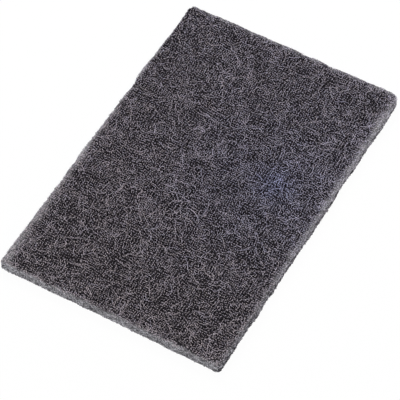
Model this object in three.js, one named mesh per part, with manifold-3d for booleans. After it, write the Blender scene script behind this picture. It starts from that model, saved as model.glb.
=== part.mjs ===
// Abrasive hand pad: one rectangular piece of springy non-woven fibre web, cut from the roll.
// Millimetres, +Z up. The origin is the middle of the face that lies on the bench.
// +Y runs along the pad and +X across it.

import * as THREE from "three";
import { ImprovedNoise } from "three/addons/math/ImprovedNoise.js";
import { mergeVertices } from "three/addons/utils/BufferGeometryUtils.js";
import Module from "manifold-3d";

// The cut piece
const padWidth = 150;
const padLength = 230;
const padThickness = 8;

// Corners as the knife left them, no two alike
const frontLeftRadius = 1.5;
const frontRightRadius = 2.5;
const backRightRadius = 5;
const backLeftRadius = 4;

// Cut edges: fibres spring back, so the rims are soft and the sides stray from a straight line
const rimRound = 0.8;
const cutStray = 0.85;
const cutStrayPitch = 9;
const cutPointSpacing = 7;

// Matted face: bundles of strands lie across each other on clumps of uneven loft
const strandLays = 3;
const strandRelief = 1;
const strandPitch = 9;
const strandRun = 28;
const strandSharpness = 4;
const clumpRelief = 0.4;
const clumpPitch = 27;
const matCell = 3.3;

// Fineness of the round stretches
const cornerSteps = 2;
const rimSteps = 2;

// How far the web is drawn past the cut, so that the knife meets it on every side
const webOverhang = 3;

const webColour = 0x4d4a4f;

const wasm = await Module();
wasm.setup();
const noise = new ImprovedNoise();

// A closed three.js geometry as a solid that can be cut
function solidFrom(geometry) {
  const bare = geometry.clone();
  bare.deleteAttribute("normal");
  bare.deleteAttribute("uv");
  const merged = mergeVertices(bare);
  return new wasm.Manifold(
    new wasm.Mesh({
      numProp: 3,
      vertProperties: merged.attributes.position.array,
      triVerts: new Uint32Array(merged.index.array),
    }),
  );
}

// A solid back as a geometry, shaded smooth
function geometryFrom(solid) {
  const mesh = solid.getMesh();
  const geometry = new THREE.BufferGeometry();
  geometry.setAttribute("position", new THREE.BufferAttribute(mesh.vertProperties, mesh.numProp));
  geometry.setIndex(new THREE.BufferAttribute(mesh.triVerts, 1));
  geometry.computeVertexNormals();
  return geometry;
}

// Points along one cut edge from start to end, straying to either side of the straight line
function cutEdge(start, end, lane) {
  const run = end.clone().sub(start);
  const length = run.length();
  const along = run.normalize();
  const across = new THREE.Vector2(-along.y, along.x);
  const count = Math.max(2, Math.round(length / cutPointSpacing));
  const points = [];
  for (let i = 1; i < count; i++) {
    const reach = (length * i) / count;
    const stray = cutStray * noise.noise(reach / cutStrayPitch, lane, 0.5);
    points.push(start.clone().addScaledVector(along, reach).addScaledVector(across, stray));
  }
  points.push(end);
  return points;
}

// The outline seen from above, anticlockwise from the front left corner
function padOutline() {
  const right = padWidth / 2;
  const back = padLength / 2;
  const corners = [
    { x: -right, y: -back, radius: frontLeftRadius },
    { x: right, y: -back, radius: frontRightRadius },
    { x: right, y: back, radius: backRightRadius },
    { x: -right, y: back, radius: backLeftRadius },
  ];
  const outline = new THREE.Shape();
  corners.forEach((corner, i) => {
    const next = corners[(i + 1) % corners.length];
    const facing = Math.PI + (i * Math.PI) / 2;
    const centre = arcCentre(corner);
    outline.absarc(centre.x, centre.y, corner.radius, facing, facing + Math.PI / 2, false);
    const start = arcPoint(corner, facing + Math.PI / 2);
    const end = arcPoint(next, facing + Math.PI / 2);
    const lane = i + 0.37;
    outline.splineThru(cutEdge(start, end, lane));
  });
  return outline;
}

function arcCentre(corner) {
  return new THREE.Vector2(
    corner.x - Math.sign(corner.x) * corner.radius,
    corner.y - Math.sign(corner.y) * corner.radius,
  );
}

function arcPoint(corner, angle) {
  const reach = new THREE.Vector2(Math.cos(angle), Math.sin(angle)).multiplyScalar(corner.radius);
  return arcCentre(corner).add(reach);
}

// What the knife keeps: the outline at full thickness, with both rims rounded
function knifeBlock() {
  return new THREE.ExtrudeGeometry(padOutline(), {
    depth: padThickness - 2 * rimRound,
    bevelThickness: rimRound,
    bevelSize: rimRound,
    bevelOffset: -rimRound,
    bevelSegments: rimSteps,
    curveSegments: cornerSteps,
  }).translate(0, 0, rimRound);
}

// How far the uppermost strand lies below the full thickness, from 0 on a strand to 1 between them.
// Each lay has its own heading, and its strands run where that lay's noise crosses zero.
function strandDepth(x, y) {
  let depth = 1;
  for (let lay = 0; lay < strandLays; lay++) {
    const heading = ((lay + 0.3) * Math.PI) / strandLays;
    const along = x * Math.cos(heading) + y * Math.sin(heading);
    const across = y * Math.cos(heading) - x * Math.sin(heading);
    const wander = noise.noise(along / strandRun, across / strandPitch, lay * 5.3 + 0.7);
    depth = Math.min(depth, strandSharpness * Math.abs(wander));
  }
  return depth;
}

// How far the matted face lies below the full thickness, in millimetres
function matDepth(x, y) {
  const clump = 0.5 - 0.5 * noise.noise(x / clumpPitch, y / clumpPitch, 8.7);
  return strandRelief * strandDepth(x, y) + clumpRelief * clump;
}

// The web as it comes off the roll: flat below, matted above, larger than the pad all round
function rollOfWeb() {
  const width = padWidth + 2 * webOverhang;
  const length = padLength + 2 * webOverhang;
  const columns = Math.round(width / matCell);
  const rows = Math.round(length / matCell);
  const web = new THREE.BoxGeometry(width, length, padThickness + webOverhang, columns, rows, 1);
  web.translate(0, 0, (padThickness - webOverhang) / 2);
  const place = web.attributes.position;
  for (let i = 0; i < place.count; i++) {
    if (place.getZ(i) > 0) {
      place.setZ(i, padThickness - matDepth(place.getX(i), place.getY(i)));
    }
  }
  return web;
}

const webMaterial = new THREE.MeshStandardMaterial({
  color: webColour,
  roughness: 0.95,
  metalness: 0,
});

const padSolid = solidFrom(rollOfWeb()).intersect(solidFrom(knifeBlock()));
const abrasivePad = new THREE.Mesh(geometryFrom(padSolid), webMaterial);
abrasivePad.name = "abrasive_pad";

const handPad = new THREE.Group();
handPad.add(abrasivePad);

export default handPad;
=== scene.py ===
import math
import random

import bpy
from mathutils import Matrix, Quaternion, Vector, noise
from mathutils.bvhtree import BVHTree


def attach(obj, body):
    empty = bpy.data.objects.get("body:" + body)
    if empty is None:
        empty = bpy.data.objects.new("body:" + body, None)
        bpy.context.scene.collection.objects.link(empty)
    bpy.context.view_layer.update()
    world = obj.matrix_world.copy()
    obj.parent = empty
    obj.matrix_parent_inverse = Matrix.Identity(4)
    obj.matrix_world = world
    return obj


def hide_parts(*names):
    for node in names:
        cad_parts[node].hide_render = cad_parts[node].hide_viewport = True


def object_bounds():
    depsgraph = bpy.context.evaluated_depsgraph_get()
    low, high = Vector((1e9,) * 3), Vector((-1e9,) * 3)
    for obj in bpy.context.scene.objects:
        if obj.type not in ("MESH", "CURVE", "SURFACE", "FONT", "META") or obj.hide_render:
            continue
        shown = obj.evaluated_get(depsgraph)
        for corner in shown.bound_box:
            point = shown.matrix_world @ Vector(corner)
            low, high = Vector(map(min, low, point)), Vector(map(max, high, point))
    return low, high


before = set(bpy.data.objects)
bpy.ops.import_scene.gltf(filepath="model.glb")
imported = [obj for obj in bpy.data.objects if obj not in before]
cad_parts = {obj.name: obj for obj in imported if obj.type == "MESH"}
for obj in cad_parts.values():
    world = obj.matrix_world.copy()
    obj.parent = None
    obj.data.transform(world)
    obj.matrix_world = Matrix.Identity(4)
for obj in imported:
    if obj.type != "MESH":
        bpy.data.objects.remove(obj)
cadLow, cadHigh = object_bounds()
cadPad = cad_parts["abrasive_pad"]
mm = 0.001
down = Vector((0, 0, -1))
noise.seed_set(8)  # the same web in every run

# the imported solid, as a shape that fibres can be laid on
padSurface = BVHTree.FromPolygons(
    [v.co.copy() for v in cadPad.data.vertices],
    [tuple(p.vertices) for p in cadPad.data.polygons],
)
print("frame loaded, pad", [round(s / mm, 1) for s in cadHigh - cadLow], "mm")


def deselectAll():
    if bpy.context.object and bpy.context.object.mode != "OBJECT":
        bpy.ops.object.mode_set(mode="OBJECT")
    bpy.ops.object.select_all(action="DESELECT")


def between(ends, share):
    return ends[0] + (ends[1] - ends[0]) * share


# Shader nodes that several finishes share

def feed(links, socket, value):
    # a socket takes a constant or what another node gives
    if hasattr(value, "links"):
        links.new(value, socket)
    else:
        socket.default_value = value


def mathNode(nodes, links, operation, first, second):
    node = nodes.new("ShaderNodeMath")
    node.operation = operation
    feed(links, node.inputs[0], first)
    feed(links, node.inputs[1], second)
    return node.outputs[0]


def mathChain(nodes, links, operation, values):
    total = values[0]
    for value in values[1:]:
        total = mathNode(nodes, links, operation, total, value)
    return total


def rangeNode(nodes, links, value, start, end, first, last, smooth=False):
    # goes from first to last while the value goes from start to end
    node = nodes.new("ShaderNodeMapRange")
    if smooth:
        node.interpolation_type = "SMOOTHSTEP"
    for name, limit in (("From Min", start), ("From Max", end), ("To Min", first), ("To Max", last)):
        node.inputs[name].default_value = limit
    links.new(value, node.inputs["Value"])
    return node.outputs["Result"]


def colourSockets(sockets):
    return [s for s in sockets if s.type == "RGBA"]


def mixPair(nodes, links, share, first, second, blend="MIX"):
    mix = nodes.new("ShaderNodeMix")
    mix.data_type = "RGBA"
    mix.blend_type = blend
    feed(links, mix.inputs["Factor"], share)
    for socket, value in zip(colourSockets(mix.inputs), (first, second)):
        feed(links, socket, value)
    return colourSockets(mix.outputs)[0]


# Camera, lights and floor

cameraSet = {
    "azimuth": 29.71,  # degrees round from looking along +Y
    "elevation": 54.356,
    "distance": 1527.9 * mm,
    "target": (3.53 * mm, -11.96 * mm, 0),
    "lens": 225,
    "sensor": 36,
    "clipStart": 0.01,
    "clipEnd": 50,
}

lightSet = {
    "world": 0.5,  # soft light from all round
    "keyPower": 16.5,
    "keySize": 0.6,
    "keyPlace": (-0.55, 0.75, 1.15),
    "fillPower": 4.5,
    "fillSize": 1.2,
    "fillPlace": (0.7, -0.9, 0.45),
}

floorSet = {
    "size": 8,
    "colour": (0.86, 0.86, 0.86, 1),
    "whiteShare": 0.97,  # how much of what the camera sees is plain white
}


def makeCamera(settings):
    turn = math.radians(settings["azimuth"])
    rise = math.radians(settings["elevation"])
    back = Vector((math.sin(turn) * math.cos(rise), -math.cos(turn) * math.cos(rise), math.sin(rise)))
    place = Vector(settings["target"]) + back * settings["distance"]
    bpy.ops.object.camera_add(location=place, rotation=(-back).to_track_quat("-Z", "Y").to_euler())
    camera = bpy.context.object
    camera.name = "photoCamera"
    camera.data.lens = settings["lens"]
    camera.data.sensor_width = settings["sensor"]
    camera.data.clip_start = settings["clipStart"]
    camera.data.clip_end = settings["clipEnd"]
    bpy.context.scene.camera = camera


def areaLamp(name, place, size, power):
    aim = (-Vector(place)).to_track_quat("-Z", "Y").to_euler()
    bpy.ops.object.light_add(type="AREA", location=place, rotation=aim)
    lamp = bpy.context.object
    lamp.name = name
    lamp.data.size = size
    lamp.data.energy = power


def seenDirectly(nodes, links):
    # one for what the camera sees, also in gloss and through glass
    path = nodes.new("ShaderNodeLightPath")
    rays = ("Is Camera Ray", "Is Glossy Ray", "Is Transmission Ray")
    return mathChain(nodes, links, "MAXIMUM", [path.outputs[ray] for ray in rays])


def makeWorld(settings):
    world = bpy.data.worlds.new("softStudio")
    bpy.context.scene.world = world
    world.use_nodes = True
    nodes = world.node_tree.nodes
    links = world.node_tree.links
    backdrop = nodes["Background"]
    backdrop.inputs["Color"].default_value = (1, 1, 1, 1)
    strength = rangeNode(nodes, links, seenDirectly(nodes, links), 0, 1, settings["world"], 1)
    links.new(strength, backdrop.inputs["Strength"])


def floorFinish(settings):
    finish = bpy.data.materials.new("paleFloor")
    finish.use_nodes = True
    nodes = finish.node_tree.nodes
    links = finish.node_tree.links
    nodes.remove(nodes["Principled BSDF"])
    matte = nodes.new("ShaderNodeBsdfDiffuse")
    matte.inputs["Color"].default_value = settings["colour"]
    white = nodes.new("ShaderNodeEmission")
    white.inputs["Strength"].default_value = 1
    share = mathNode(nodes, links, "MULTIPLY", seenDirectly(nodes, links), settings["whiteShare"])
    mix = nodes.new("ShaderNodeMixShader")
    links.new(share, mix.inputs["Fac"])
    links.new(matte.outputs[0], mix.inputs[1])
    links.new(white.outputs[0], mix.inputs[2])
    links.new(mix.outputs[0], nodes["Material Output"].inputs["Surface"])
    return finish


def makeStudio():
    deselectAll()
    makeCamera(cameraSet)
    makeWorld(lightSet)
    areaLamp("keyLamp", lightSet["keyPlace"], lightSet["keySize"], lightSet["keyPower"])
    areaLamp("fillLamp", lightSet["fillPlace"], lightSet["fillSize"], lightSet["fillPower"])
    deselectAll()
    bpy.ops.mesh.primitive_plane_add(size=floorSet["size"], location=(0, 0, cadLow.z))
    floor = bpy.context.object
    floor.name = "floor"
    floor.data.materials.append(floorFinish(floorSet))
    bpy.context.scene.view_settings.view_transform = "Standard"
    print("studio ready")


# The four cut sides. Pairs are for a side's two ends, the low one first.
# reach: how far in the face is paler, partly painted light on the rounded edges. Then the side's painted
# shade, painted light where it is below zero, and the painted shade added at the floor.
# loft: how far its fibres stand out, in millimetres.

rimSides = {
    "left": {
        "axis": 0, "end": cadLow.x, "reach": (5 * mm, 0.3 * mm),
        "paintedShade": (0, 0.1), "paintedFootShade": 0, "loft": 0.4,
    },
    "right": {
        "axis": 0, "end": cadHigh.x, "reach": (2.2 * mm, 3.8 * mm),
        "paintedShade": (0.54, -0.3), "paintedFootShade": 1.9, "loft": 0.15,
    },
    "front": {
        "axis": 1, "end": cadLow.y, "reach": (2 * mm, 2.6 * mm),
        "paintedShade": (-0.05, 0.05), "paintedFootShade": 0, "loft": -0.05,
    },
    "back": {
        "axis": 1, "end": cadHigh.y, "reach": (1.6 * mm, 2.2 * mm),
        "paintedShade": (0, 0), "paintedFootShade": 0, "loft": 0,
    },
}

sideSet = {
    "fall": 1.2 * mm,  # how soon a side's painted shade and loft end on the face
    # the painted shade at the floor fades over this height
    "footHeight": 2.2 * mm,
    "paintedShadeDrop": 0.4,  # what full painted shade takes from a fibre's tone
    "stray": 1.1,  # how uneven the border of the paler band is
    "straySize": 7 * mm,
}


def padShare(axis, spot):
    # none at the pad's low end along this axis, one at its high end
    return (spot[axis] - cadLow[axis]) / (cadHigh[axis] - cadLow[axis])


def alongSide(side, key, spot):
    return between(side[key], padShare(1 - side["axis"], spot))


def awayFrom(side, spot):
    return abs(spot[side["axis"]] - side["end"])


def rimNearness(spot, stretch=1):
    # one on the cut sides, falling off over the face with an uneven reach, and slower at the corners
    stray = noise.noise(spot / sideSet["straySize"])
    stretch = stretch * math.exp(sideSet["stray"] * stray)
    farness = 1
    for side in rimSides.values():
        farness *= 1 - math.exp(-awayFrom(side, spot) / (stretch * alongSide(side, "reach", spot)))
    return 1 - farness


def sideNearness(side, spot):
    return math.exp(-awayFrom(side, spot) / sideSet["fall"])


def paintedSideShade(spot):
    # painted shade of the sides near a spot, painted light where it is below zero, with more painted shade
    # at the floor
    paintedShade = 0
    for side in rimSides.values():
        paintedFootShade = side["paintedFootShade"] * math.exp((cadLow.z - spot.z) / sideSet["footHeight"])
        paintedShade += sideNearness(side, spot) * (alongSide(side, "paintedShade", spot) + paintedFootShade)
    return paintedShade


def sideLoft(spot):
    return sum(side["loft"] * sideNearness(side, spot) for side in rimSides.values())


# The felted heart of the web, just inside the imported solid

coreSet = {
    "weld": 0.001 * mm,
    "cuts": 1,
    "inset": 0.2 * mm,  # room for the fibres that lie over it
    "faceSink": 0.9 * mm,  # the open mat on the face is deeper
    "underSink": 0.4 * mm,
    "flatFrom": 0.5,  # upright share of a normal from which it counts fully as a face
    "lumpHeight": 0.4 * mm,
    "lumpSize": 5 * mm,
}

coreLook = {
    "gap": (0.004, 0.0036, 0.0046, 1),  # between the fibres of the face: the web's dark fibres, with the shade deep between them painted in
    "strand": (0.04, 0.036, 0.042, 1),
    "cut": (0.54, 0.535, 0.555, 1),  # the pale cut sides: partly their own paler cut fibre ends, partly painted light from the floor and the lamps
    "cutShade": (0.14, 0.138, 0.145, 1),
    "rimStretch": 1.5,  # how far the pale cut reaches inwards, against the fibres over it
    "rimFull": 0.1,  # and where on that way it begins to fade
    "rimStray": 8 * mm,
    "rimStrayCount": 150,  # waves a metre
    "footStretch": 2,  # how far up the painted shade at the floor reaches, against the fibres over it
    "lays": ((620, 0.10, 1.0), (830, 0.09, 0.75), (1100, 0.09, 0.5)),  # strands a metre, width, tone
    "swirl": 0.6,
    "gapRoughness": 0.95,
    "strandRoughness": 0.75,
    "bump": 0.6,
    "bumpDepth": 0.4 * mm,
    "shine": 0.05,
}


def strandLines(nodes, links, place, look, turn):
    # curly lines where a smooth noise passes its middle value, each lay shifted and turned
    count, width, tone = look["lays"][turn]
    shift = nodes.new("ShaderNodeMapping")
    shift.inputs["Location"].default_value = (turn, 2 * turn, 0)
    shift.inputs["Rotation"].default_value = (0, 0, turn)
    links.new(place, shift.inputs["Vector"])
    curls = nodes.new("ShaderNodeTexNoise")
    curls.inputs["Scale"].default_value = count
    curls.inputs["Detail"].default_value = 0
    curls.inputs["Distortion"].default_value = look["swirl"]
    links.new(shift.outputs[0], curls.inputs["Vector"])
    off = mathNode(nodes, links, "SUBTRACT", curls.outputs["Fac"], 0.5)
    off = mathNode(nodes, links, "ABSOLUTE", off, 0)
    return rangeNode(nodes, links, off, 0, width, tone, 0)


def alongNode(nodes, links, split, axis, ends):
    # between the values at the two ends of a side that runs along this axis
    return rangeNode(nodes, links, split.outputs[axis], cadLow[axis], cadHigh[axis], *ends)


def nearNode(nodes, links, split, stray, side, look):
    # none on the open face and one on this cut side, with a ragged border
    away = mathNode(nodes, links, "SUBTRACT", split.outputs[side["axis"]], side["end"])
    away = mathNode(nodes, links, "ABSOLUTE", away, 0)
    away = mathNode(nodes, links, "SUBTRACT", away, stray)
    reach = alongNode(nodes, links, split, 1 - side["axis"], side["reach"])
    reach = mathNode(nodes, links, "MULTIPLY", reach, look["rimStretch"])
    away = mathNode(nodes, links, "DIVIDE", away, reach)
    return rangeNode(nodes, links, away, 1, look["rimFull"], 0, 1, smooth=True)


def lightNode(nodes, links, split, near, side, look):
    # the light that this side keeps
    paintedShade = alongNode(nodes, links, split, 1 - side["axis"], side["paintedShade"])
    footTop = cadLow.z + look["footStretch"] * sideSet["footHeight"]
    paintedFootShade = rangeNode(nodes, links, split.outputs["Z"], cadLow.z, footTop, side["paintedFootShade"], 0)
    paintedShade = mathNode(nodes, links, "ADD", paintedShade, paintedFootShade)
    paintedShade = mathNode(nodes, links, "MULTIPLY", paintedShade, near)
    return mathNode(nodes, links, "SUBTRACT", 1, paintedShade)


def rimShare(nodes, links, place, look):
    # how much a place belongs to the cut sides, and the light that they keep there
    split = nodes.new("ShaderNodeSeparateXYZ")
    links.new(place, split.inputs[0])
    waves = nodes.new("ShaderNodeTexNoise")
    waves.inputs["Scale"].default_value = look["rimStrayCount"]
    links.new(place, waves.inputs["Vector"])
    stray = mathNode(nodes, links, "SUBTRACT", waves.outputs["Fac"], 0.5)
    stray = mathNode(nodes, links, "MULTIPLY", stray, look["rimStray"])
    shares = []
    lights = []
    for side in rimSides.values():
        near = nearNode(nodes, links, split, stray, side, look)
        shares.append(near)
        lights.append(lightNode(nodes, links, split, near, side, look))
    return mathChain(nodes, links, "MAXIMUM", shares), mathChain(nodes, links, "MULTIPLY", lights)


def coreFinish(look):
    finish = bpy.data.materials.new("webCore")
    finish.use_nodes = True
    nodes = finish.node_tree.nodes
    links = finish.node_tree.links
    shader = nodes["Principled BSDF"]
    place = nodes.new("ShaderNodeTexCoord").outputs["Object"]
    lines = [strandLines(nodes, links, place, look, turn) for turn in range(len(look["lays"]))]
    strands = mathChain(nodes, links, "MAXIMUM", lines)
    face = mixPair(nodes, links, strands, look["gap"], look["strand"])
    side = mixPair(nodes, links, strands, look["cutShade"], look["cut"])
    rim, light = rimShare(nodes, links, place, look)
    # the cut sides fade towards the gap colour where shade is painted on them
    side = mixPair(nodes, links, light, look["gap"], side)
    links.new(mixPair(nodes, links, rim, face, side), shader.inputs["Base Color"])
    rough = rangeNode(nodes, links, strands, 0, 1, look["gapRoughness"], look["strandRoughness"])
    links.new(rough, shader.inputs["Roughness"])
    bump = nodes.new("ShaderNodeBump")
    bump.inputs["Strength"].default_value = look["bump"]
    bump.inputs["Distance"].default_value = look["bumpDepth"]
    links.new(strands, bump.inputs["Height"])
    links.new(bump.outputs["Normal"], shader.inputs["Normal"])
    shader.inputs["Specular IOR Level"].default_value = look["shine"]
    return finish


def displace(piece, strength, direction="NORMAL", group=None, texture=None):
    push = piece.modifiers.new("push", "DISPLACE")
    push.strength = strength
    push.direction = direction
    push.mid_level = 0.5 if texture else 0
    if group:
        push.vertex_group = group
    if texture:
        push.texture = texture
        push.texture_coords = "LOCAL"
    bpy.ops.object.modifier_apply(modifier=push.name)


def standOnFloor(piece):
    for vertex in piece.data.vertices:
        vertex.co.z = max(vertex.co.z, cadLow.z)


def markFaces(core, settings):
    # how much each point belongs to the open mat above, and to the one below
    above = core.vertex_groups.new(name="above")
    below = core.vertex_groups.new(name="below")
    for vertex in core.data.vertices:
        openness = 1 - rimNearness(vertex.co)
        flatness = min(1, abs(vertex.normal.z) / settings["flatFrom"])
        group = above if vertex.normal.z > 0 else below
        group.add([vertex.index], openness * flatness, "REPLACE")


def makeCore(settings):
    deselectAll()
    cadPad.select_set(True)
    bpy.context.view_layer.objects.active = cadPad
    bpy.ops.object.duplicate()
    core = bpy.context.object
    core.name = "padBody"
    core.data.name = "padBody"
    core.parent = None
    for key in list(core.keys()):
        del core[key]
    bpy.ops.object.mode_set(mode="EDIT")
    bpy.ops.mesh.select_all(action="SELECT")
    bpy.ops.mesh.remove_doubles(threshold=settings["weld"])
    bpy.ops.mesh.subdivide(number_cuts=settings["cuts"])
    bpy.ops.object.mode_set(mode="OBJECT")
    displace(core, -settings["inset"])
    markFaces(core, settings)
    displace(core, -settings["faceSink"], "Z", "above")
    displace(core, settings["underSink"], "Z", "below")
    lumps = bpy.data.textures.new("webLumps", "CLOUDS")
    lumps.noise_scale = settings["lumpSize"]
    displace(core, settings["lumpHeight"], texture=lumps)
    standOnFloor(core)
    bpy.ops.object.shade_smooth()
    core.data.materials.clear()
    core.data.materials.append(coreFinish(coreLook))
    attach(core, "root")
    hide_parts("abrasive_pad")
    core.data.calc_loop_triangles()
    print("padBody", len(core.data.loop_triangles), "triangles")


# Fibre tones: each fibre's own map holds its tone across and its hue upwards

toneSet = {
    "dark": (0.005, 0.0045, 0.0058),
    "low": (0.04, 0.0365, 0.042),
    "middle": (0.14, 0.131, 0.145),
    "pale": (0.36, 0.345, 0.365),
    # the white end stands for the palest fibres, with their glints painted in
    "white": (0.9, 0.88, 0.9),
    "warmHue": (1.08, 0.98, 1),
    "blueHue": (0.86, 0.915, 1.3),
    "roughness": 0.6,
    "shine": 0.08,
}

# the cut sides are nearly neutral
cutToneSet = dict(toneSet, warmHue=(0.985, 1.005, 1.045), blueHue=(1.03, 0.94, 1.06))


def fibreFinish(name, settings):
    finish = bpy.data.materials.new(name)
    finish.use_nodes = True
    nodes = finish.node_tree.nodes
    links = finish.node_tree.links
    shader = nodes["Principled BSDF"]
    tones = nodes.new("ShaderNodeUVMap")
    tones.uv_map = "OFBake"
    split = nodes.new("ShaderNodeSeparateXYZ")
    links.new(tones.outputs["UV"], split.inputs[0])
    ramp = nodes.new("ShaderNodeValToRGB")
    stops = ramp.color_ramp.elements
    stops[0].color = (*settings["dark"], 1)
    stops[1].color = (*settings["white"], 1)
    for quarter, key in enumerate(("low", "middle", "pale"), 1):
        stops.new(quarter / 4).color = (*settings[key], 1)
    links.new(split.outputs["X"], ramp.inputs["Fac"])
    warm = (*settings["warmHue"], 1)
    blue = (*settings["blueHue"], 1)
    hue = mixPair(nodes, links, split.outputs["Y"], warm, blue)
    tinted = mixPair(nodes, links, 1, ramp.outputs["Color"], hue, "MULTIPLY")
    links.new(tinted, shader.inputs["Base Color"])
    shader.inputs["Roughness"].default_value = settings["roughness"]
    shader.inputs["Specular IOR Level"].default_value = settings["shine"]
    return finish


# Where the pad is paler or bluer. Pairs are for its front and its back.

mottleSet = {
    "clumpSize": 11 * mm,
    "clumpTone": (0.14, 0.05),
    "driftSize": 45 * mm,
    "driftShift": (7.1, 3.3, 0),  # so that drifts don't follow the clumps
    "driftTone": 0.03,
    "rimTone": 0.68,  # the cut edges are paler and more even: partly the cut's own fibres, partly a painted highlight on the rounded edges
    "bluePlace": (41 * mm, 16 * mm),
    "blueReach": 12 * mm,  # a paler, bluer patch
    "blueTone": 0.2,
    "blueFade": 2 * mm,  # the patch is on the upper face, and ends this far above the floor
    "haloReach": 60 * mm,  # and a faint wide halo
    "haloTone": 0.05,
    "haloEven": 0.5,  # share of the halo at which it leaves the tone as it is
    "hue": (0.08, 0.28),  # warmer towards the front
    "hueHalo": 0.5,
    "hueBlue": 1,
    "hueSpread": 0.12,
}


def alongPad(spot, ends):
    return between(ends, padShare(1, spot))


def blueShare(spot, reach):
    x, y = mottleSet["bluePlace"]
    away = math.hypot(spot.x - x, spot.y - y) / reach
    height = min(1, (spot.z - cadLow.z) / mottleSet["blueFade"])
    return height * math.exp(-away * away)


def mottleTone(spot):
    clump = noise.noise(spot / mottleSet["clumpSize"])
    drift = noise.noise(spot / mottleSet["driftSize"] + Vector(mottleSet["driftShift"]))
    tone = alongPad(spot, mottleSet["clumpTone"]) * clump + mottleSet["driftTone"] * drift
    tone += mottleSet["haloTone"] * (blueShare(spot, mottleSet["haloReach"]) - mottleSet["haloEven"])
    return tone + mottleSet["blueTone"] * blueShare(spot, mottleSet["blueReach"])


def fibreTone(own, style, spot, height):
    # deeper fibres darker: painted shade
    tone = own + style["toneRise"] * (height - style["height"]) + mottleTone(spot)
    # paler near the cut edges: partly the cut's own fibres, partly painted light on the rounded edges
    tone += (mottleSet["rimTone"] - tone) * style["rimPull"] * rimNearness(spot)
    # painted shade and painted light of the nearby sides
    return tone - sideSet["paintedShadeDrop"] * paintedSideShade(spot)


def fibreHue(spot):
    hue = alongPad(spot, mottleSet["hue"])
    hue += (mottleSet["hueHalo"] - hue) * blueShare(spot, mottleSet["haloReach"])
    return hue + (mottleSet["hueBlue"] - hue) * blueShare(spot, mottleSet["blueReach"])


# Fibres: each walks over the pad's surface, curling, and dips in and out of the web

webGrain = {
    "share": 0.35,
    "heading": -30,  # degrees from +X
    "spread": 25,
}

fibreSet = {
    "wander": 1.5,  # how far the grid of starts strays, and in what waves, both in its cells
    "wanderWaves": 8,
    "castRoom": 10 * mm,  # starts are looked for from this far off the face
    "loopReach": 1.5,  # how far rim loops spread inwards, against the paler band
    "sideBand": (0.06, 0.94),  # lowest and highest start on a side, as shares of the thickness
    "sideSpread": 0.7,  # radians off level
    "crimpSpread": (0.4, 1.6),
    "crimpTurn": 5,  # radians of one crimp from end to end
    "waveSpread": (0.5, 1.2),
    "waveLength": 4 * mm,
    "liftSpread": 0.08,  # millimetres
    "divePower": 4,  # the ends dive late and steeply
    "stopShare": 0.3,  # a walk ends where an edge leaves it less of a step than this
    "widthSpread": (0.6, 1.4),
    "sectionSides": 3,
    "weld": 0.0005 * mm,
    "mapEnds": (0.01, 0.985),
    "toneStep": 0.004,  # small steps that keep every face of the map open
    "hueStep": 0.005,
}

# The lays. Lengths, widths, heights, weave and dive are in millimetres, and curl is in radians a metre.
# count is of starts over a whole face or round the sides; shift and jitter are in cells between starts.
# Tones go from dark at 0 to white at 1. They differ by toneSpread from fibre to fibre and by speckle along
# one, rise with its height by toneRise a millimetre, and are drawn to the rim's tone by rimPull. The rise
# with height is painted shade deeper in the web, and so in part are the lower lays' darker tones.
layStyles = {
    "lowerLay": {
        "from": "face", "seed": 23, "count": 9000, "jitter": 1, "shift": 0.5,
        "length": (2.5, 4), "width": 0.4, "points": 4, "curl": 200, "crimp": 0.25,
        "height": -0.75, "weave": 0.2, "dive": 0.2,
        "tone": 0.2, "toneSpread": 0.05, "speckle": 0.05, "toneRise": 0.15, "rimPull": 0.6,
    },
    "middleLay": {
        "from": "face", "seed": 31, "count": 13000, "jitter": 0.35, "shift": 0,
        "length": (1.5, 2.6), "width": 0.3, "points": 4, "curl": 230, "crimp": 0.25,
        "height": -0.35, "weave": 0.15, "dive": 0.3,
        "tone": 0.38, "toneSpread": 0.1, "speckle": 0.15, "toneRise": 0.2, "rimPull": 0.5,
    },
    "topLay": {
        "from": "face", "seed": 61, "count": 15500, "jitter": 0.45, "shift": 0.5,
        "length": (0.9, 1.9), "width": 0.28, "points": 4, "curl": 110, "crimp": 0.1,
        "height": 0.35, "weave": 0.15, "dive": 0.3,
        # the top fibres reach the white end: pale fibres with painted glints
        "tone": 1.15, "toneSpread": 0.1, "speckle": 0.2, "toneRise": 0.2, "rimPull": 0.25,
    },
    "longCurls": {
        "from": "face", "seed": 43, "count": 1600, "jitter": 1, "shift": 0.5,
        "length": (5, 11), "width": 0.15, "points": 9, "curl": 150, "crimp": 0.12,
        "height": 0.45, "weave": 0.15, "dive": 0.3,
        "tone": 0.98, "toneSpread": 0.1, "speckle": 0.15, "toneRise": 0.2, "rimPull": 0.2,
    },
    # rim loops and side fibres are pale partly of their own, partly with painted light on the rims and
    # sides
    "rimLoops": {
        "from": "rim", "seed": 47, "count": 27000, "jitter": 0.7, "shift": 0.5,
        "length": (1.2, 2.4), "width": 0.24, "points": 4, "curl": 250, "crimp": 0.3,
        "height": 0.15, "weave": 0.15, "dive": 0.3,
        "tone": 0.9, "toneSpread": 0.2, "speckle": 0.35, "toneRise": 0.2, "rimPull": 0.1,
    },
    "sideFibres": {
        "from": "side", "seed": 41, "count": 7000,
        "length": (1.4, 2.8), "width": 0.34, "points": 4, "curl": 140, "crimp": 0.25,
        "height": -0.02, "weave": 0.1, "dive": 0.3,
        "tone": 0.78, "toneSpread": 0.2, "speckle": 0.3, "toneRise": 0.3, "rimPull": 0.1,
    },
    "undersideLay": {
        "from": "underside", "seed": 53, "count": 15000, "jitter": 0.6, "shift": 0.5,
        "length": (1.2, 2.6), "width": 0.3, "points": 4, "curl": 140, "crimp": 0.2,
        "height": -0.3, "weave": 0.1, "dive": 0.2,
        "tone": 1, "toneSpread": 0.1, "speckle": 0.2, "toneRise": 0.25, "rimPull": 0.5,
    },
}


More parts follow.
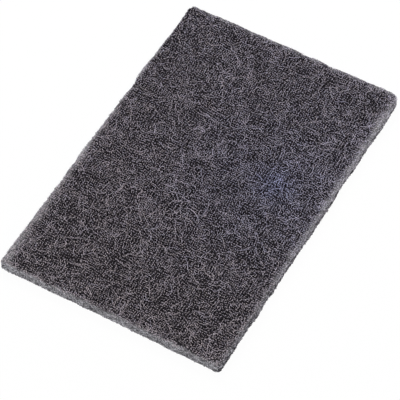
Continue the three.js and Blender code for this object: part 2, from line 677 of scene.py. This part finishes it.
def spreadOverFace(draw, style, height, aim):
    # one start in each cell of an even grid, so that no bare patch is left
    size = cadHigh - cadLow
    cell = math.sqrt(size.x * size.y / style["count"])
    columns = round(size.x / cell)
    rows = round(size.y / cell)
    for column in range(columns):
        for row in range(rows):
            strayX = style["shift"] + style["jitter"] * draw.uniform(-0.5, 0.5)
            strayY = style["shift"] + style["jitter"] * draw.uniform(-0.5, 0.5)
            x = cadLow.x + (column + strayX) * size.x / columns
            y = cadLow.y + (row + strayY) * size.y / rows
            spot = Vector((x, y, height))
            spot += fibreSet["wander"] * cell * noise.noise_vector(spot / (fibreSet["wanderWaves"] * cell))
            yield padSurface.ray_cast(spot, aim)[:2]


def spreadOverSides(draw, count):
    # places along the four sides, each with as many as it is long
    size = cadHigh - cadLow
    halfRound = size.x + size.y
    for i in range(count):
        along = (i + draw.random()) / count * 2 * halfRound
        height = cadLow.z + draw.uniform(*fibreSet["sideBand"]) * size.z
        sign = 1 if along < halfRound else -1
        along = along % halfRound
        if along < size.x:
            start = Vector((along - size.x / 2, sign * size.y, height))
            inward = Vector((0, -sign, 0))
        else:
            start = Vector((sign * size.x, along - size.x - size.y / 2, height))
            inward = Vector((-sign, 0, 0))
        yield padSurface.ray_cast(start, inward)[:2]


def spreadOverRim(draw, style):
    # starts on the face, fewer and fewer away from the cut sides
    for spot, normal in spreadOverFace(draw, style, cadHigh.z + fibreSet["castRoom"], down):
        if spot and draw.random() < rimNearness(spot, fibreSet["loopReach"]):
            yield spot, normal


def fibreStarts(draw, style):
    if style["from"] == "face":
        return spreadOverFace(draw, style, cadHigh.z + fibreSet["castRoom"], down)
    if style["from"] == "rim":
        return spreadOverRim(draw, style)
    if style["from"] == "underside":
        return spreadOverFace(draw, style, cadLow.z - fibreSet["castRoom"], -down)
    return spreadOverSides(draw, style["count"])


def firstHeading(draw, normal, style):
    if style["from"] == "side":  # side fibres lie mostly along the cut
        level = normal.cross(down).normalized()
        return Quaternion(normal, draw.gauss(0, fibreSet["sideSpread"])) @ level * draw.choice((-1, 1))
    if draw.random() < webGrain["share"]:  # many follow the way the web was laid
        turn = math.radians(draw.gauss(webGrain["heading"], webGrain["spread"]))
        return Vector((math.cos(turn), math.sin(turn), 0))
    across = normal.orthogonal().normalized()
    return Quaternion(normal, draw.uniform(0, 2 * math.pi)) @ across


def walkFibre(draw, style, spot, normal):
    heading = firstHeading(draw, normal, style)
    length = draw.uniform(*style["length"]) * mm
    step = length / (style["points"] - 1)
    curl = draw.gauss(0, style["curl"])
    crimp = style["crimp"] * draw.uniform(*fibreSet["crimpSpread"])
    phase = draw.uniform(0, 2 * math.pi)
    waves = draw.uniform(*fibreSet["waveSpread"]) * length / fibreSet["waveLength"]
    lift = draw.gauss(0, fibreSet["liftSpread"])
    if style["from"] in ("side", "rim"):
        lift += sideLoft(spot)
    spot, normal = padSurface.find_nearest(spot - heading * length / 2)[:2]
    path = []
    for i in range(style["points"]):
        share = i / (style["points"] - 1)
        height = style["height"] + lift + style["weave"] * math.sin(2 * math.pi * waves * share + phase)
        height -= style["dive"] * abs(2 * share - 1) ** fibreSet["divePower"]
        path.append((spot + normal * height * mm, spot, height))
        turn = curl * step + crimp * math.sin(fibreSet["crimpTurn"] * share + phase)
        heading = Quaternion(normal, turn) @ heading
        nextSpot, nextNormal = padSurface.find_nearest(spot + heading * step)[:2]
        if (nextSpot - spot).length < fibreSet["stopShare"] * step:
            break
        heading = (nextSpot - spot).normalized()
        spot, normal = nextSpot, nextNormal
    return path if len(path) > 2 else []  # both ends taper off, so two points would show nothing


def makeSection():
    # a fibre's section, drawn once and swept along every fibre
    deselectAll()
    bpy.ops.mesh.primitive_circle_add(vertices=fibreSet["sectionSides"], radius=1)
    bpy.ops.object.convert(target="CURVE")
    section = bpy.context.object
    section.name = "fibreSection"
    section.data.dimensions = "2D"
    section.data.fill_mode = "NONE"
    return section


def layCurves(name, style, section):
    # the fibres as curves, with the tone and hue of every point
    draw = random.Random(style["seed"])
    strands = bpy.data.curves.new(name, "CURVE")
    strands.dimensions = "3D"
    strands.bevel_mode = "OBJECT"
    strands.bevel_object = section
    strands.resolution_u = 1
    tones = []
    for start, normal in fibreStarts(draw, style):
        if start is None:
            continue
        path = walkFibre(draw, style, start, normal)
        if not path:
            continue
        radius = style["width"] / 2 * mm * draw.uniform(*fibreSet["widthSpread"])
        own = draw.gauss(style["tone"], style["toneSpread"])
        ownHue = draw.gauss(0, mottleSet["hueSpread"])
        spline = strands.splines.new("POLY")
        spline.points.add(len(path) - 1)
        for i, (place, spot, height) in enumerate(path):
            place.z = max(place.z, cadLow.z + radius)
            spline.points[i].co = (*place, 1)
            spline.points[i].radius = 0 if i in (0, len(path) - 1) else radius
            tone = fibreTone(own, style, spot, height) + draw.gauss(0, style["speckle"])
            tones.append((tone + fibreSet["toneStep"] * (i % 2), fibreHue(spot) + ownHue))
    return strands, tones


def paintTones(lay, tones):
    # the ring of points round each place takes that place's tone and hue
    mesh = lay.data
    while mesh.uv_layers:
        mesh.uv_layers.remove(mesh.uv_layers[0])
    layer = mesh.uv_layers.new(name="OFBake")
    least, most = fibreSet["mapEnds"]
    spots = []
    for loop in mesh.loops:
        ring, side = divmod(loop.vertex_index, fibreSet["sectionSides"])
        tone, hue = tones[ring]
        spots.append(min(max(tone, least), most))
        spots.append(min(max(hue + fibreSet["hueStep"] * side, least), most))
    layer.data.foreach_set("uv", spots)


def makeLay(name, style, section, finish):
    strands, tones = layCurves(name, style, section)
    lay = bpy.data.objects.new(name, strands)
    bpy.context.scene.collection.objects.link(lay)
    deselectAll()
    lay.select_set(True)
    bpy.context.view_layer.objects.active = lay
    bpy.ops.object.convert(target="MESH")
    lay = bpy.context.object
    standOnFloor(lay)
    paintTones(lay, tones)
    bpy.ops.object.mode_set(mode="EDIT")
    bpy.ops.mesh.select_all(action="SELECT")
    bpy.ops.mesh.remove_doubles(threshold=fibreSet["weld"])
    bpy.ops.mesh.normals_make_consistent(inside=False)
    bpy.ops.object.mode_set(mode="OBJECT")
    bpy.ops.object.shade_smooth()
    lay.data.materials.clear()
    lay.data.materials.append(finish)
    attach(lay, "root")
    lay.data.calc_loop_triangles()
    print(name, len(strands.splines), "fibres,", len(lay.data.loop_triangles), "triangles")


makeStudio()
makeCore(coreSet)
fibreSection = makeSection()
faceFinish = fibreFinish("fibreTones", toneSet)
cutFinish = fibreFinish("cutTones", cutToneSet)
for layName, layStyle in layStyles.items():
    makeLay(layName, layStyle, fibreSection, cutFinish if layStyle["from"] == "side" else faceFinish)
bpy.data.objects.remove(fibreSection)
